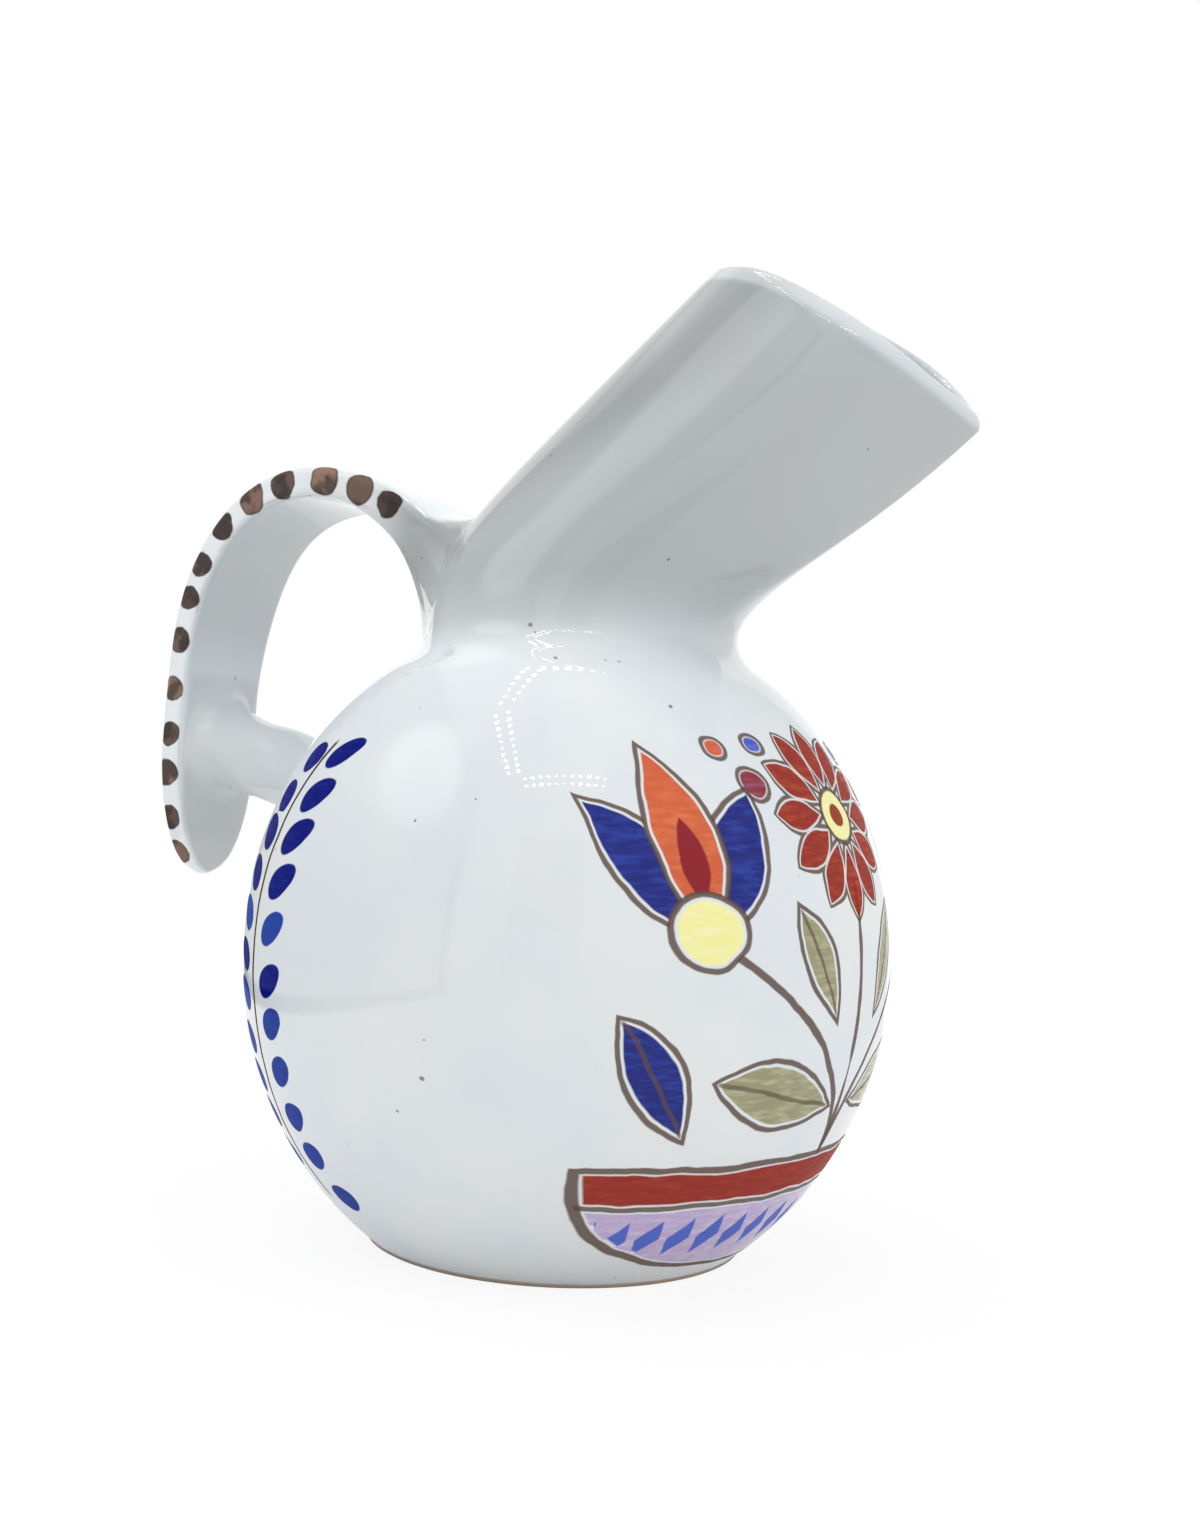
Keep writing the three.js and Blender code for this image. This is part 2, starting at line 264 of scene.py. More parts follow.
def tin_glaze(place):
    """White tin glaze with faint clouds and a few pinholes. The neck and the spout are painted grey as shade,
    darkest high on the back, with lilac and sage stains; the strap's root is left out of that shade and the
    lip is painted paler as a highlight. The peg and the globe round it get a little painted shade."""
    x, y, z = place.part(0), abs(place.part(1)), place.part(2)
    clouds = place.noise(24, 3).fade(0.35, 0.68)
    stains = place.noise(11, 2)
    pinholes = place.noise(420, 0).fade(0.84, 0.86) * place.noise(30, 0).fade(0.54, 0.6)

    # Painted highlight along the lip: near the mouth's edge the spout's painted shade is lifted.
    down_mouth = (x - mouth_middle.x) * mouth_along.x + (z - mouth_middle.z) * mouth_along.z
    over_mouth = (x - mouth_middle.x) * mouth_up.x + (z - mouth_middle.z) * mouth_up.z
    over_lip = over_mouth - mouth_side_lift + down_mouth * down_mouth * lip_curve
    lip = over_lip.fade(-0.0034, -0.0014) * 0.6
    # Painted shade on the neck and the spout, grey from the shoulder up and lighter towards the beak; the
    # strap's root is left out of it.
    strap_root = y.fade(0.0185, 0.0165) * x.fade(-0.036, -0.046)
    neck_and_spout = z.fade(0.164, 0.192) * x.fade(-0.075, -0.045) * (1 - strap_root)
    towards_beak = x.fade(0.03, 0.1)
    thin = neck_and_spout * (0.88 - towards_beak * 0.2) * (1 - lip)
    # Deeper painted shade high on the spout's back ridge.
    shaded_high_back = (x * 0.5 - z * 0.866).fade(-0.178, -0.196)
    # A little painted shade on and round the peg, between the globe and the strap.
    shade_by_peg = x.fade(-0.086, -0.096) * y.fade(0.017, 0.014) * z.fade(0.166, 0.16) * z.fade(0.104, 0.112)

    colour = clouds.between(glaze_cool, glaze_warm)
    colour = colour.over(glaze_shade_grey, thin.most(shade_by_peg * 0.3))
    colour = colour.over(glaze_deepest_shade, thin * shaded_high_back * 0.75)
    colour = colour.over(glaze_lilac, thin * stains.fade(0.52, 0.66) * 0.4)
    colour = colour.over(glaze_sage, thin * stains.fade(0.47, 0.36) * 0.35)
    return colour.over(pinhole_brown, pinholes * 0.75)


def fire(place, colour, glazed=1.0):
    """A matt coloured ground under a coat of clear glass. The glass sinks in where oxide lies
    thick, and ripples more on the hand-built spout than on the thrown globe."""
    hand_built = place.part(2).fade(0.185, 0.215)
    ripple = place.noise(38, 2) * 0.9 + place.noise(240, 1) * 0.035 + place.noise(19, 1) * hand_built * 3.5
    relief = place.node("ShaderNodeBump", {"Strength": 0.35, "Distance": 0.0011, "Height": ripple})
    sunk = colour.node("ShaderNodeRGBToBW", {"Color": colour}).fade(0.08, 0.4) * 0.86 + 0.14
    shader = place.node("ShaderNodeBsdfPrincipled", {
        "Base Color": colour, "Roughness": 0.6, "Specular IOR Level": 0.0, "Normal": relief,
        "Coat Weight": sunk * glazed, "Coat Roughness": 0.02, "Coat IOR": 1.5,
    })
    place.node("ShaderNodeOutputMaterial", {"Surface": shader})


glaze, glaze_place = start_material("tin glaze")
fire(glaze_place, tin_glaze(glaze_place))

# Painting on the globe
# Oxide colours brushed on the raw glaze before firing: a leaf branch down each side near the
# handle, and a flower spray in a bowl in front, with brown outlines round flat fills.
cobalt = (0.0015, 0.006, 0.17)
cobalt_thin = (0.02, 0.06, 0.42)
mid_blue = (0.035, 0.09, 0.52)
leaf_blue = (0.016, 0.055, 0.33)
stem_brown = (0.045, 0.022, 0.015)
lilac = (0.42, 0.3, 0.56)
lilac_thin = (0.6, 0.52, 0.7)
brick_red = (0.27, 0.013, 0.003)
orange = (0.58, 0.095, 0.022)
orange_thin = (0.75, 0.2, 0.06)
maroon = (0.24, 0.02, 0.035)
yellow = (0.83, 0.8, 0.3)
yellow_thin = (0.86, 0.84, 0.5)
olive = (0.27, 0.26, 0.13)
olive_thin = (0.4, 0.4, 0.25)
outline_brown = (0.11, 0.068, 0.05)
biscuit = (0.42, 0.34, 0.28)
millimetres = 1000
upright_curve = 97.5
brush_stray = 2.2

painted_glaze, painted_place = start_material("painted tin glaze")


def paint_globe(place, ground):
    """The painting laid over the ground. Distances are in millimetres on the globe's skin: across
    from under the spout towards either side, and rise from the globe's middle."""
    brush = place.noise(90, 2, output=1)
    x = place.part(0) * millimetres
    y = place.part(1) * millimetres
    z = place.part(2) * millimetres
    out = (x * x + y * y) ** 0.5
    turn = x.math("ARCTAN2", abs(y), x)
    upward = (z - globe_centre * millimetres) / (globe_half_height * millimetres)
    latitude = x.math("ARCSINE", upward.least(1).most(-1))
    across = turn * out + (brush.part(0) - 0.5) * brush_stray
    rise = latitude * upright_curve + (brush.part(1) - 0.5) * brush_stray
    hair = place.node("ShaderNodeMapping", {"Vector": place, "Scale": (1.0, 1.0, 5.0)}).noise(160, 3)

    def leaf(motif_across, motif_rise, length, breadth, skew=0.0):
        """Distance outside a pointed leaf that lies along the first direction"""
        share = motif_across / (length / 2)
        return abs(motif_rise) - (1 - share * share) * (share * skew + 1) * (breadth / 2)

    def turned(at_across, at_rise, degrees):
        """Directions along and across a motif at a place, leaning outwards from level"""
        slope = math.radians(degrees)
        along = (across - at_across) * math.cos(slope) + (rise - at_rise) * math.sin(slope)
        beside = (rise - at_rise) * math.cos(slope) - (across - at_across) * math.sin(slope)
        return along, beside

    def filled(colour, coat, distance, inset=1.5, strength=0.97):
        """A flat fill that stops short of its outline"""
        return colour.over(coat, distance.fade(-inset + 0.3, -inset - 0.3) * strength)

    def outlined(colour, distance, width=1.25):
        return colour.over(outline_brown, abs(distance).fade(width / 2 + 0.35, width / 2 - 0.15) * 0.92)

    def brushed(deep, thin, share=0.5):
        """A coat that varies from deep to thin along its brush strokes"""
        return (hair.fade(0.4, 0.75) * share).between(deep, thin)

    deep_cobalt = brushed(cobalt, cobalt_thin, 0.55)
    leaf_olive = brushed(olive, olive_thin, 0.9)
    petal_yellow = brushed(yellow, yellow_thin, 0.7)
    colour = ground

    # Leaf branch: a stem bent at both ends, with leaves of unlike sizes on either side
    high = (latitude / math.radians(33)).most(0)
    low = (latitude / math.radians(-16) - 1.5).most(0)
    stem_turn = high * high * high * math.radians(6.3) + low * low * math.radians(4.5) - math.radians(120.4)
    from_stem = (brush.part(0) - 0.5) * 1.6 - (turn + stem_turn) * out
    climb = latitude * upright_curve
    side = from_stem.above(0)
    pitch = side * 1.15 + 11.1
    step = (climb + side * 3.75 - 3.75) / pitch
    leaf_number = step.floor()
    chance = step.node(
        "ShaderNodeTexWhiteNoise", {"Vector": step.node("ShaderNodeCombineXYZ", {0: leaf_number, 1: side})},
        {"noise_dimensions": "2D"}, output=1,
    )
    off_side = abs(from_stem) - side * 1.9 - 9.9 - chance.part(0) + climb.fade(38, 56) * 3.2
    off_rise = (step - leaf_number - 0.5) * pitch + (chance.part(1) - 0.5) * 1.4
    leaf_along = off_side * 0.91 + off_rise * 0.42 + (brush.part(1) - 0.5) * 1.8
    leaf_beside = off_rise * 0.91 - off_side * 0.42
    blade_length = chance.part(2) * 1.1 + climb.fade(0, 30) * 0.8 + 6.0 - climb.fade(46, 58) * 0.8
    blade_breadth = climb.fade(0, 30) * 0.55 + 3.85 - leaf_along * 0.08
    blade = (abs(leaf_along / blade_length) ** 2.1 + abs(leaf_beside / blade_breadth) ** 2) ** 0.49
    shown = (5 - leaf_number).above(0) * leaf_number.above(-7)
    pale_leaf = (0.5 - leaf_number).above(0) * (1 - abs(leaf_number + 1).fade(0.6, 0.4))
    leaf_wash = pale_leaf * (chance.part(2) * 0.4 + 0.6) + hair.fade(0.45, 0.8) * 0.25
    stem = abs(from_stem).fade(1.0, 0.55) * climb.fade(60, 58) * climb.fade(-72, -68)
    colour = colour.over(stem_brown, stem)
    colour = colour.over(leaf_wash.between(cobalt, leaf_blue), blade.fade(1.06, 0.96) * shown)

    # Bowl with a band of lozenges
    bowl = (((across / 78) ** 2 + ((rise + 40) / 46) ** 2) ** 0.5 - 1) * 46
    bowl = bowl.most(rise + 46)
    band = (rise + 58).most(bowl)
    along_band = across / 9 + 0.5
    weave = abs(along_band - along_band.floor() - 0.5)
    lozenge = weave * 9 + abs((rise + 70) * 0.45) - 3.4
    colour = filled(colour, brushed(brick_red, orange, 0.2), (-58 - rise).most(bowl), 1.4)
    colour = filled(colour, brushed(lilac, lilac_thin, 0.7), band.most(-1.6 - lozenge), 1.4, 0.85)
    colour = colour.over(mid_blue, lozenge.fade(0.3, -0.3) * band.fade(-1.6, -2.2) * 0.93)
    colour = outlined(colour, bowl, 1.7)
    colour = colour.over(outline_brown, abs(rise + 58).fade(1.1, 0.6) * bowl.fade(0.3, -0.3) * 0.9)

    # Stems
    above_bowl = rise.fade(-46.5, -45.5)
    lean = ((rise + 46) / 56).most(0)
    side_stem = abs(across - lean * lean * 52) / (lean * lean * 3.4 + 1) ** 0.5
    colour = colour.over(outline_brown, side_stem.fade(1.3, 0.8) * above_bowl * rise.fade(12, 10) * 0.92)
    colour = colour.over(outline_brown, abs(across).fade(1.2, 0.7) * above_bowl * rise.fade(28, 26) * 0.92)

    # Leaves of the spray
    for at_across, at_rise, degrees, length, breadth, coat in (
        (28, -27, 12, 46, 17, leaf_olive),
        (66, -22, 52, 40, 14, deep_cobalt),
        (19, 6, 62, 34, 12, leaf_olive),
    ):
        along, beside = turned(at_across, at_rise, degrees)
        shape = leaf(along, beside, length, breadth, 0.15)
        colour = filled(colour, coat, shape)
        colour = colour.over(outline_brown, abs(beside).fade(0.75, 0.35) * shape.fade(-0.6, -1.2) * 0.7)
        colour = outlined(colour, shape)

    # Flowers beside the middle: three petals each, over a cup
    for degrees, along_shift, coat in (
        (52, 0, deep_cobalt),
        (118, 0, deep_cobalt),
        (85, 3, brushed(orange, orange_thin, 0.5)),
    ):
        along, beside = turned(55, 12, degrees)
        shape = leaf(along - 22 - along_shift, beside, 44 + along_shift * 2, 19, -0.1)
        colour = colour.over(ground, shape.fade(0.4, -0.2))
        colour = filled(colour, coat, shape)
        colour = outlined(colour, shape)
    along, beside = turned(55, 12, 85)
    colour = filled(colour, brushed(maroon, brick_red, 0.5), leaf(along - 19, beside, 22, 8), 0.2)
    cup = (((along - 2) / 9) ** 2 + (beside / 11) ** 2) ** 0.5 * 9 - 9
    colour = colour.over(ground, cup.fade(0.4, -0.2))
    colour = filled(colour, petal_yellow, cup)
    colour = outlined(colour, cup)

    # Round flower in the middle, with twelve petals
    ray = (across * across + (rise - 44) ** 2) ** 0.5
    bearing = across.math("ARCTAN2", rise - 44, across) / math.tau * 12 + 12.5
    petal_side = (bearing - bearing.floor() - 0.5) * (math.tau / 12) * ray
    petal = leaf(ray - 17.5, petal_side, 21, 10.5, 0.35)
    colour = filled(colour, brushed(brick_red, orange, 0.35), petal, 1.2)
    colour = outlined(colour, petal, 1.1)
    colour = filled(colour, petal_yellow, ray - 8, 0.6)
    colour = outlined(colour, ray - 7.6, 1.2)
    colour = colour.over(brick_red, (ray - 3.2).fade(0.3, -0.3) * 0.95)

    # Berries
    berries = ((31, 52, 4.6, maroon), (24, 64, 3.4, mid_blue), (38, 62, 3.4, orange))
    for at_across, at_rise, size, coat in berries:
        berry = ((across - at_across) ** 2 + (rise - at_rise) ** 2) ** 0.5 - size
        colour = filled(colour, brushed(coat, lilac, 0.25), berry, 0.9)
        colour = outlined(colour, berry, 1.0)
    return colour


def paint_and_fire(place):
    """The painted outside, the plain inside and the bare clay under the foot"""
    x, y, height = place.part(0), place.part(1), place.part(2)
    from_middle = (x * x + y * y) / globe_radius ** 2 + ((height - globe_centre) / globe_half_height) ** 2
    ground = tin_glaze(place)
    painting = ground.over(paint_globe(place, ground), from_middle.fade(0.93, 0.95))
    foot = height.fade(0.0016, 0.0011)
    fire(place, painting.over(biscuit, foot), 1 - foot)


paint_and_fire(painted_place)
globe = finish_piece("globe", thrown_globe(), painted_glaze, "globe_body")

# Spout
# A slab-sided wall of the same clay, round at the neck and drawn in to a leaf-shaped mouth,
# with a ridge up its back, a beak in front and a smoothed, bevelled lip.
mouth_half_width = 0.026
rim_height = 0.0026
ridge_wall = 0.0085
ridge_softness = 0.16
side_hollow = 0.3
lip_bevel = 0.0022
beak_bevel = 0.0016
wall_run = 0.094

back_line = (
    Vector((-neck_radius, 0, neck_height)),
    Vector((-neck_radius + 0.001, 0, neck_height + 0.36 * mouth_back_rise)),
    Vector((-neck_radius + 0.31 * (neck_radius + mouth_back_reach), 0, neck_height + 0.55 * mouth_back_rise)),
    mouth_back,
)
front_line = (
    Vector((neck_radius, 0, neck_height)),
    Vector((neck_radius, 0, neck_height + 0.14 * mouth_tip_rise)),
    Vector(((neck_radius + mouth_tip_reach) / 2, 0, neck_height + 0.36 * mouth_tip_rise)),
    mouth_tip,
)


def on_line(line, share):
    """A point of a curve that is given by its ends and its two pulls"""
    a, b, c, d = line
    rest = 1 - share
    return a * rest ** 3 + b * 3 * rest ** 2 * share + c * 3 * rest * share ** 2 + d * share ** 3


def smooth_share(value, start, end):
    share = min(max((value - start) / (end - start), 0), 1)
    return share * share * (3 - 2 * share)


def blended(first, second, share):
    return first + (second - first) * share


def spout_point(share, turn, side_inset, end_inset):
    """A point of the wall, by its share of the way up and its turn from the beak"""
    back = on_line(back_line, share)
    front = on_line(front_line, share)
    along = (front - back).normalized()
    upward = Vector((-along.z, 0, along.x))
    leaf = smooth_share(share, 0.02, 0.9)
    half_length = (front - back).length / 2 - blended(side_inset, end_inset, leaf)
    half_width = blended(neck_radius, mouth_half_width, leaf) - side_inset
    side = math.sin(turn)
    hollow = ((side * side + ridge_softness ** 2) / (1 + ridge_softness ** 2)) ** (side_hollow * leaf)
    point = (front + back) / 2 + along * half_length * math.cos(turn)
    point += upward * mouth_side_lift * share * share * side * side
    point.y = half_width * side * hollow
    return point


def spout_skin(share, turn, outer):
    """The bore, or the outer skin, which stops short of the lip by the bevel"""
    if not outer:
        return spout_point(share, turn, wall, ridge_wall)
    forward = math.cos(turn)
    beak = smooth_share(forward, 0.7, 1)
    bevel = blended(lip_bevel, beak_bevel, beak) * smooth_share(forward, -0.6, 0.2)
    return spout_point(share * (1 - bevel / wall_run), turn, 0, 0)


def rolled(rows, sides, place):
    """A grid of clay rolled up both ways, its edges joined. place gives a corner by row and side."""
    clay = bmesh.new()
    bmesh.ops.create_grid(clay, x_segments=sides, y_segments=rows, size=0.5)
    for corner in clay.verts:
        row = round((corner.co.y + 0.5) * rows) % rows
        side = round((corner.co.x + 0.5) * sides) % sides
        corner.co = place(row, side)
    bmesh.ops.remove_doubles(clay, verts=clay.verts, dist=1e-7)
    return clay


def built_spout():
    """Up the outer skin, over the rounded lip and down the bore"""
    rise = [0, 0.0015] + [step / 72 for step in range(1, 73)]
    sides = 320
    lip_rows = 9
    rows = len(rise) * 2 + lip_rows

    def place(row, side):
        turn = math.tau * side / sides
        if row < len(rise):
            return spout_skin(rise[row], turn, True)
        if row >= len(rise) + lip_rows:
            return spout_skin(rise[rows - 1 - row], turn, False)
        angle = math.pi * (row - len(rise) + 1) / (lip_rows + 1)
        edge = spout_skin(1, turn, True)
        bore = spout_skin(1, turn, False)
        return edge.lerp(bore, (1 - math.cos(angle)) / 2) + mouth_up * rim_height * math.sin(angle)

    return rolled(rows, sides, place)


spout = finish_piece("spout", built_spout(), glaze, "spout")

# Strap handle
# One flat pulled strap that springs from the back of the neck, arches over and hangs free to
# a rounded tongue. Brown dots are brushed along both edges.
strap_width = 0.037
strap_waver = 0.0004
strap_thickness = 0.0098
strap_edge_radius = 0.003
strap_crown = 0.0005
strap_reach = globe_radius + 0.059
strap_top = neck_height + 0.047
strap_apex_reach = 0.098
strap_root_rise = 0.026
strap_root_slope = math.radians(42)
strap_root_depth = 0.027
quarter_pull = 0.65
root_swell = 0.0065
root_swell_length = 0.044
tongue_length = 0.049
tail_height = 0.0955
short_way = 0.0008
dot_radius = 3.85
dots_along = (
    0.0479, 0.0611, 0.076, 0.0938, 0.1082, 0.1238, 0.1385,
    0.1505, 0.165, 0.1813, 0.1967, 0.2097, 0.2246, 0.2362,
)
peg_end = Vector((-strap_reach, 0, globe_centre + 0.059))

root_place = Vector((-neck_radius, 0, neck_height + strap_root_rise))
root_way = Vector((-math.cos(strap_root_slope), 0, math.sin(strap_root_slope)))
apex = Vector((-strap_apex_reach, 0, strap_top))
tongue_top = Vector((-strap_reach, 0, tail_height + tongue_length))
tail = Vector((-strap_reach, 0, tail_height))
root_pull = (root_place - apex).length / 3

strap_path = [root_place - root_way * strap_root_depth]
strap_path += interpolate_bezier(
    root_place, root_place + root_way * root_pull, apex + Vector((root_pull, 0, 0)), apex, 160,
)
strap_path += interpolate_bezier(
    apex,
    apex - Vector((quarter_pull * (strap_reach - strap_apex_reach), 0, 0)),
    tongue_top + Vector((0, 0, quarter_pull * (strap_top - tongue_top.z))),
    tongue_top,
    240,
)[1:]
strap_path += [tail]
strap_marks = [0]
for here, after in zip(strap_path, strap_path[1:]):
    strap_marks.append(strap_marks[-1] + (after - here).length)
strap_length = strap_marks[-1]


def strap_place(distance):
    """The point of the strap's middle line at a distance from its start"""
    distance = min(max(distance, 0), strap_length)
    after = max(bisect_left(strap_marks, distance), 1)
    share = (distance - strap_marks[after - 1]) / (strap_marks[after] - strap_marks[after - 1])
    return strap_path[after - 1].lerp(strap_path[after], share)


def down_tongue(distance):
    """0 down to where the tongue begins and 1 at its tip"""
    return max(0, (distance - strap_length + tongue_length) / tongue_length)


def strap_half_width(down):
    return strap_width / 2 * math.sqrt(max(0, 1 - down ** 2.2))


def strap_section():
    """Corners of a rounded rectangle: how far each is set out flat, and by its round, both ways"""
    corners = []
    face_cuts, edge_cuts, round_cuts = 24, 8, 10
    flats = (
        ((1, 1), (-1, 1), face_cuts), ((-1, 1), (-1, -1), edge_cuts),
        ((-1, -1), (1, -1), face_cuts), ((1, -1), (1, 1), edge_cuts),
    )
    for quarter, (start, end, cuts) in enumerate(flats):
        for step in range(round_cuts + 1):
            angle = (quarter + step / round_cuts) * math.pi / 2
            corners.append((*start, math.cos(angle), math.sin(angle)))
        angle = (quarter + 1) * math.pi / 2
        for cut in range(1, cuts):
            flat = [blended(start[axis], end[axis], cut / cuts) for axis in (0, 1)]
            corners.append((*flat, math.cos(angle), math.sin(angle)))
    return corners


section = strap_section()


def strap_skin(distance, side):
    """A corner of the strap's skin, from its distance along and its place round the section"""
    middle = strap_place(distance)
    way = (strap_place(distance + short_way) - strap_place(distance - short_way)).normalized()
    outward = Vector((way.z, 0, -way.x))
    down = down_tongue(distance)
    half_width = strap_half_width(down) + strap_waver * math.sin(distance * 95) * (1 - down)
    half_depth = strap_thickness / 2 * math.sqrt(max(0, 1 - down ** 12))
    swell = root_swell * min(max(1 - (distance - strap_root_depth) / root_swell_length, 0), 1) ** 1.2
    deep = half_depth + swell / 2
    edge = min(strap_edge_radius, half_width, deep)
    wide, thick, round_wide, round_thick = section[side]
    width = wide * (half_width - edge) + edge * round_wide
    crown = strap_crown * (1 - wide * wide) * thick * (1 - down)
    depth = thick * (deep - edge) + edge * round_thick + crown - swell / 2
    return middle + outward * depth + Vector((0, -width, 0))


def pulled_strap():
    """The strap's skin from its hidden root to the tongue's tip. Its corners say how many
    millimetres the nearest dot is off along the strap and round its edge, and that dot's chance."""
    tongue_start = strap_length - tongue_length
    distances = [tongue_start * step / 200 for step in range(201)]
    distances += [strap_length - tongue_length * (1 - step / 36) ** 2 for step in range(1, 37)]
    rows = len(distances) + 1

    def place(row, side):
        if row == rows - 1:
            return strap_place(0)
        return strap_skin(distances[row], side)

    clay = rolled(rows, len(section), place)
    gap_to_dot = clay.verts.layers.float.new("gap_to_dot")
    round_edge = clay.verts.layers.float.new("round_edge")
    dot_chance = clay.verts.layers.float.new("dot_chance")
    marks = [strap_place(mark) for mark in distances]
    for corner in clay.verts:
        flat = Vector((corner.co.x, 0, corner.co.z))
        nearest = min(range(len(marks)), key=lambda index: (marks[index] - flat).length_squared)
        low, high = max(nearest - 1, 0), min(nearest + 1, len(marks) - 1)
        way = (marks[high] - marks[low]).normalized()
        distance = distances[nearest] + (flat - marks[nearest]).dot(way)
        depth = (flat - marks[nearest]).dot(Vector((way.z, 0, -way.x)))
        inward = strap_half_width(down_tongue(distance)) - abs(corner.co.y)
        number = min(range(len(dots_along)), key=lambda index: abs(dots_along[index] - distance))
        corner[gap_to_dot] = abs(dots_along[number] - distance) * millimetres
        corner[round_edge] = math.copysign(abs(depth) + max(inward, 0), depth) * millimetres
        corner[dot_chance] = (number * 0.43 + (0.31 if corner.co.y > 0 else 0.03)) % 1
    return clay


dotted_glaze, dotted_place = start_material("tin glaze with dots")
glaze_edge_light = (0.8, 0.83, 0.85)
clay_blush = (0.42, 0.33, 0.31)
umber = (0.024, 0.01, 0.006)
umber_thin = (0.24, 0.13, 0.088)


def distance_from(place, spot):
    x, y, z = spot
    return ((place.part(0) - x) ** 2 + (place.part(1) - y) ** 2 + (place.part(2) - z) ** 2) ** 0.5


def dot_and_fire(place):
    """Dots over the glaze, with painted shade on the strap's inner face, painted light on its
    narrow edge, and the glaze worn to a blush of clay along the rounds of that edge"""
    def marked(name):
        return place.node("ShaderNodeAttribute", {}, {"attribute_name": name}, output=2)

    face = marked("round_edge")
    past_root = place.part(0).fade(-0.082, -0.11)
    past_peg = distance_from(place, peg_end).fade(0.012, 0.045)
    bare_ridge = abs(abs(face) - 4.6).fade(0.9, 0.2) * place.noise(75, 2).fade(0.45, 0.7)
    # Painted shade on the strap's inner face, which faces the globe, away from its root and the peg.
    colour = tin_glaze(place).over(glaze_shade_grey, face.fade(-4.2, -7) * past_root * past_peg * 0.5)
    # Painted light on the strap's narrow edges.
    colour = colour.over(glaze_edge_light, face.fade(-5, -3.5) * face.fade(6, 4.5) * past_root * 0.7)
    colour = colour.over(clay_blush, bare_ridge * 0.5)

    brush = place.noise(140, 2, output=1)
    chance = marked("dot_chance")
    lean = place.part(2).fade(0.145, 0.12) * 1.2 + 0.2
    off_round = face - lean + (brush.part(0) - 0.5) * 3.4
    off_along = marked("gap_to_dot") + (brush.part(1) - 0.5) * 2.6
    size = place.part(2).fade(0.2, 0.218) * 1.1 + chance * 0.7 + dot_radius
    spread = ((off_round / 1.12) ** 2 + off_along ** 2) ** 0.5 / size
    wash = place.noise(130, 3).fade(0.42, 0.58) * (chance * 0.75 + 0.15) + chance.fade(0.5, 0.95) * 0.2
    coat = (wash * spread.fade(1.0, 0.8)).between(umber, umber_thin)
    fire(place, colour.over(coat, spread.fade(1.08, 0.92) * 0.95))


dot_and_fire(dotted_place)
strap = finish_piece("handle_strap_painted", pulled_strap(), dotted_glaze, "handle_strap")

# Peg
# A short round strut of clay between the globe and the strap, kneaded a little uneven. Its two
# ends run into what they join, hidden under the clay worked round them.
peg_radius = 0.0128
peg_start_rise = 0.041
peg_sides = 72

peg_start = Vector((
    -globe_radius * math.sqrt(1 - (peg_start_rise / globe_half_height) ** 2) + 2 * wall / 3,
    0,
    globe_centre + peg_start_rise,
))
peg_way = (peg_end - peg_start).normalized()
peg_up = Vector((-peg_way.z, 0, peg_way.x))
peg_length = (peg_end - peg_start).length


def peg_skin(distance, side):
    turn = math.tau * side / peg_sides
    knead = 0.0003 * math.sin(3 * turn + 190 * distance) + 0.0002 * math.sin(5 * turn - 260 * distance)
    outward = peg_up * math.sin(turn) + Vector((0, math.cos(turn), 0))
    return peg_start + peg_way * distance + outward * (peg_radius + knead)


def rolled_peg():
    places = [peg_length * step / 48 for step in range(49)]
    rows = len(places) + 2

    def place(row, side):
        if row == 0:
            return peg_start
        if row == rows - 1:
            return peg_end
        return peg_skin(places[row - 1], side)

    return rolled(rows, peg_sides, place)


finish_piece("handle_peg_glazed", rolled_peg(), glaze, "handle_peg")

# Clay worked into the joints
# Soft clay smoothed by finger from each limb onto what it joins, so that the glaze runs over
# in one hollow curve. Each ring ends just under both skins.
ring_steps = 22
under_skin = 0.000002
ring_depth = 0.0018
ring_overlap = 0.0012
feeling_step = 0.0004


def clay_host(*pieces):
    """The skin of what a limb is joined to, for finding its nearest points"""
    host = bmesh.new()
    for piece in pieces:
        host.from_mesh(piece.data)
    tree = BVHTree.FromBMesh(host)
    host.free()
    return tree


def smoothed(values, times):
    """Values round a ring, each drawn towards its two neighbours a number of times"""
    count = len(values)
    for _ in range(times):
        values = [(values[at - 1] + 2 * values[at] + values[(at + 1) % count]) / 4 for at in range(count)]
    return values


def along_skin(host, start, way, length):
    """Where a walk over the host's skin ends, and the skin's normal there"""
    paces = 12
    found, normal, _, _ = host.find_nearest(start)
    for _ in range(paces):
        step = (way - normal * way.dot(normal)).normalized() * (length / paces)
        found, normal, _, _ = host.find_nearest(found + step)
    return found, normal


def contact_with(host, limb, side, distance):
    """The distance at which a limb's side goes into the host"""
    for _ in range(400):
        point = limb(distance, side)
        found, normal, _, _ = host.find_nearest(point)
        if (point - found).dot(normal) < 0:
            break
        distance -= feeling_step
    return distance


